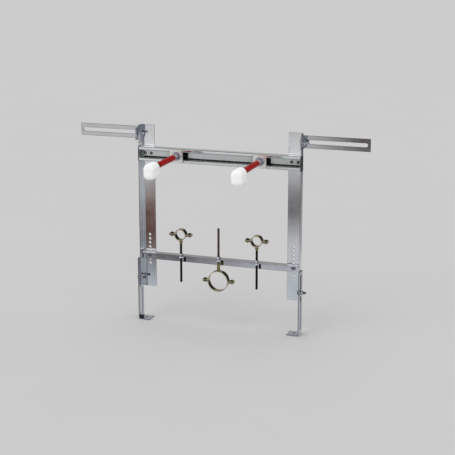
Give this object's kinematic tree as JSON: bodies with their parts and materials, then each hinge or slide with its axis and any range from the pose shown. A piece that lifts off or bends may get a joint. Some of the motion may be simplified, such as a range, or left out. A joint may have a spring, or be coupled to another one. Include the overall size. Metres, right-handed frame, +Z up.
{
  "type": "basin installation frame",
  "caption": "Stud-wall frame for hanging a wash basin: sheet uprights, slotted rail with capped basin studs, crossbar with pipe clamps, slotted side arms and feet.",
  "frame": {"origin": "on the floor, midway between the two floor bolt holes in the feet", "axes": "+X to the right for someone facing the frame, +Y towards the wall behind it, +Z up; the basin studs point along -Y"},
  "size_m": [0.972, 0.2775, 0.655],
  "materials": {
    "galvanised_sheet": "bright galvanised sheet steel",
    "zinc_plate": "zinc-plated strip with a bluish tint",
    "fastener_steel": "bright zinc-plated fasteners",
    "threaded_steel": "dark zinc-plated threaded rod",
    "yellow_zinc": "yellow passivated zinc",
    "pale_plate": "pale zinc-plated square plate",
    "red_plastic": "red plastic tube",
    "white_plastic": "white moulded plastic",
    "black_plastic": "black moulded plastic"
  },
  "bodies": {
    "root": {"arm_bolts": "fastener_steel", "arm_nuts": "fastener_steel", "arm_washers": "fastener_steel", "crossbar": "galvanised_sheet", "crossbar_nuts": "fastener_steel", "crossbar_screws": "fastener_steel", "foot_bolts": "fastener_steel", "foot_nuts": "fastener_steel", "foot_washers": "fastener_steel", "left_arm": "zinc_plate", "left_clamp_lower": "yellow_zinc", "left_clamp_screws": "fastener_steel", "left_clamp_upper": "yellow_zinc", "left_foot": "zinc_plate", "left_rail_nut": "fastener_steel", "left_rod": "threaded_steel", "left_rod_nuts": "fastener_steel", "left_stud": "threaded_steel", "left_stud_cap": "white_plastic", "left_stud_nut": "fastener_steel", "left_stud_plate": "pale_plate", "left_stud_sleeve": "red_plastic", "left_stud_washer": "fastener_steel", "left_upright": "galvanised_sheet", "rail_end_caps": "black_plastic", "rail_rivets": "fastener_steel", "right_arm": "zinc_plate", "right_clamp_lower": "yellow_zinc", "right_clamp_screws": "fastener_steel", "right_clamp_upper": "yellow_zinc", "right_foot": "zinc_plate", "right_rail_nut": "fastener_steel", "right_rod": "threaded_steel", "right_rod_nuts": "fastener_steel", "right_stud": "threaded_steel", "right_stud_cap": "white_plastic", "right_stud_nut": "fastener_steel", "right_stud_plate": "pale_plate", "right_stud_sleeve": "red_plastic", "right_stud_washer": "fastener_steel", "right_upright": "galvanised_sheet", "top_rail": "galvanised_sheet", "waste_clamp_lower": "yellow_zinc", "waste_clamp_screws": "fastener_steel", "waste_clamp_upper": "yellow_zinc", "waste_rod": "threaded_steel", "waste_rod_nuts": "fastener_steel"}
  },
  "joints": []
}
